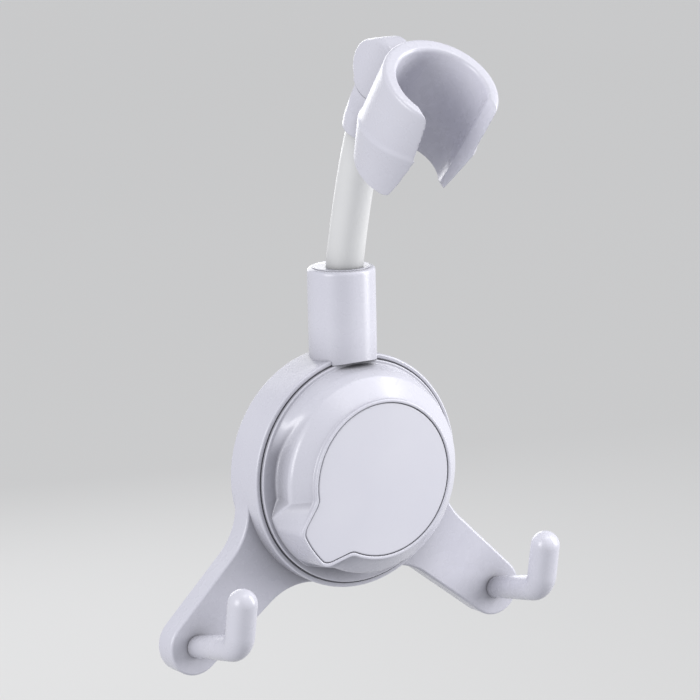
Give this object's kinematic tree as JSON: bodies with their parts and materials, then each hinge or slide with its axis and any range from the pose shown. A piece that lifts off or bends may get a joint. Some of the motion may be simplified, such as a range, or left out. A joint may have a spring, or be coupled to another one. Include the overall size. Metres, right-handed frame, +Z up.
{
  "type": "shower head holder",
  "caption": "Suction-cup shower head holder: round base with a turn-to-lock knob and side hooks, and a bendable arm that carries a tilting slotted cradle.",
  "frame": {"origin": "centre of the suction cup's contact ring, on the wall plane", "axes": "+Y into the wall, the front faces -Y, +Z up along the socket, +X to the right seen from the front"},
  "size_m": [0.1322, 0.0781, 0.1968],
  "materials": {
    "abs": "smooth moulded white, slightly cool",
    "sleeve": "smooth flexible white",
    "soft": "soft, smooth, milky",
    "nylon": "natural, satin",
    "rubber": "black, matt",
    "steel": "plain stainless",
    "aluminium": "drawn wire",
    "brass": "plain turned"
  },
  "bodies": {
    "base": {"base_body": "abs", "left_hook": "abs", "left_hook_screw": "steel", "right_hook": "abs", "right_hook_screw": "steel", "suction_cup": "soft", "socket_screw": "steel"},
    "lock": {"pull_stud": "nylon", "stud_washer": "steel", "stud_screw": "steel"},
    "knob": {"knob_body": "abs", "knob_panel": "abs"},
    "arm": {"arm_plug": "nylon", "plug_o_ring": "rubber", "lower_ferrule": "brass", "arm_sleeve": "sleeve", "arm_core": "aluminium"},
    "tip": {"arm_tip": "abs", "upper_ferrule": "brass"},
    "cradle": {"cradle": "abs", "left_friction_washer": "nylon", "right_friction_washer": "nylon", "tilt_screw": "steel"}
  },
  "joints": [
    {"name": "stud_pull", "type": "slide", "parent": "base", "child": "lock", "axis": [0, -1, 0], "range_m": [0, 0.0036], "deforming": ["suction_cup"]},
    {"name": "knob_turn", "type": "hinge", "parent": "lock", "child": "knob", "pos_m": [0, -0.02, 0], "axis": [0, 1, 0], "range_deg": [0, 90]},
    {"name": "arm_swivel", "type": "hinge", "parent": "base", "child": "arm", "pos_m": [0, -0.0116, 0.05], "axis": [0, 0, 1], "range_deg": [-75, 75]},
    {"name": "arm_bend", "type": "hinge", "parent": "arm", "child": "tip", "pos_m": [0, -0.016, 0.085], "axis": [1, 0, 0], "range_deg": [-25, 40], "deforming": ["arm_sleeve", "arm_core"]},
    {"name": "cradle_tilt", "type": "hinge", "parent": "tip", "child": "cradle", "pos_m": [0, -0.03594, 0.12862], "axis": [-1, 0, 0], "range_deg": [0, 50]}
  ],
  "couplings": [
    {"joint": "stud_pull", "follows": "knob_turn", "m_per_rad": 0.0022918}
  ]
}
